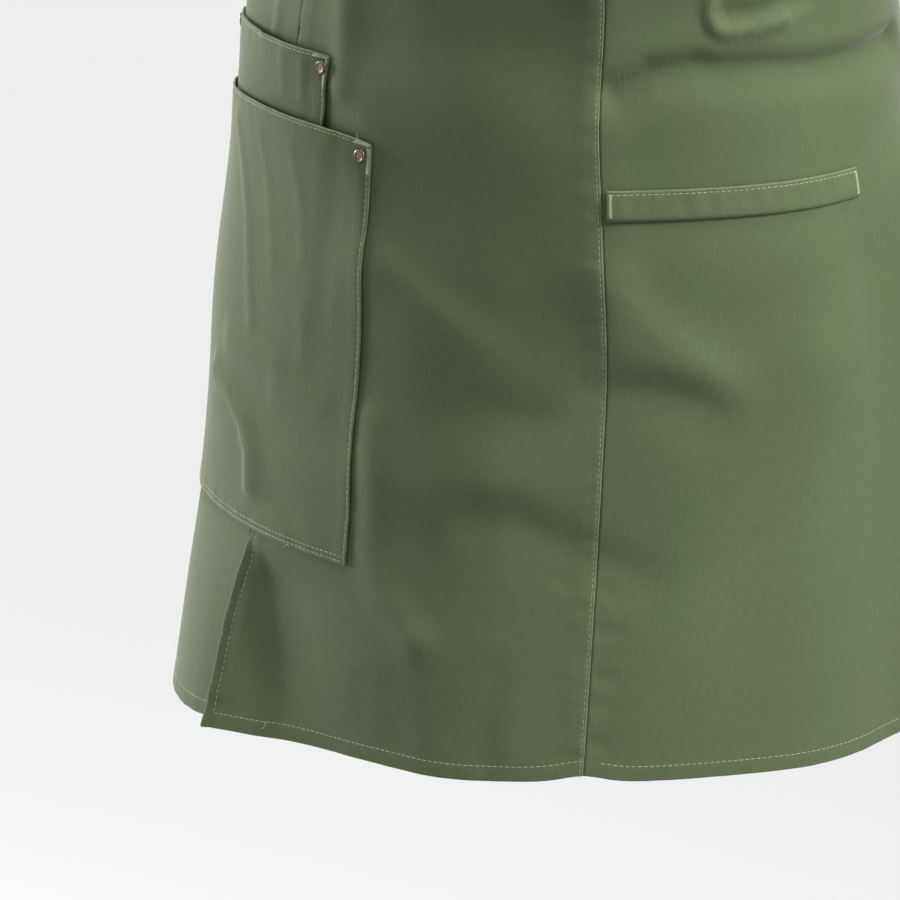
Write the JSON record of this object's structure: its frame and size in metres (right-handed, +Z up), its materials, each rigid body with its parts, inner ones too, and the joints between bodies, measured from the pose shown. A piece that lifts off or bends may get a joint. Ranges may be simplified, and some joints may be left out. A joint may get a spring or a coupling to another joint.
{
  "type": "bib apron",
  "caption": "Olive cotton twill bib apron in its worn form: lapped three-panel skirt with a slit, riveted patch pockets, a welt pocket, neck strap and tied waist.",
  "frame": {"origin": "inner face of the neck strap at the nape, in the middle of the strap's width", "axes": "+Z up along the body, front of the apron towards -Y, the wearer's left towards +X"},
  "size_m": [0.4276, 0.3489, 0.8597],
  "materials": {
    "twill": "matt piece-dyed cotton twill",
    "pocketing": "matt plain-woven pocketing",
    "rivet": "antique copper plate, worn",
    "thread": "spun polyester sewing thread"
  },
  "bodies": {
    "root": {"centre_panel": "twill", "right_side_panel": "twill", "left_side_panel": "twill", "small_pocket": "twill", "large_pocket": "twill", "small_pocket_rivet_front": "rivet", "small_pocket_rivet_back": "rivet", "large_pocket_rivet_front": "rivet", "large_pocket_rivet_back": "rivet", "pocket_welt": "twill", "welt_pocket_bag": "pocketing", "neck_strap": "twill", "right_waist_tie": "twill", "left_waist_tie": "twill", "waist_knot": "twill"}
  },
  "joints": []
}
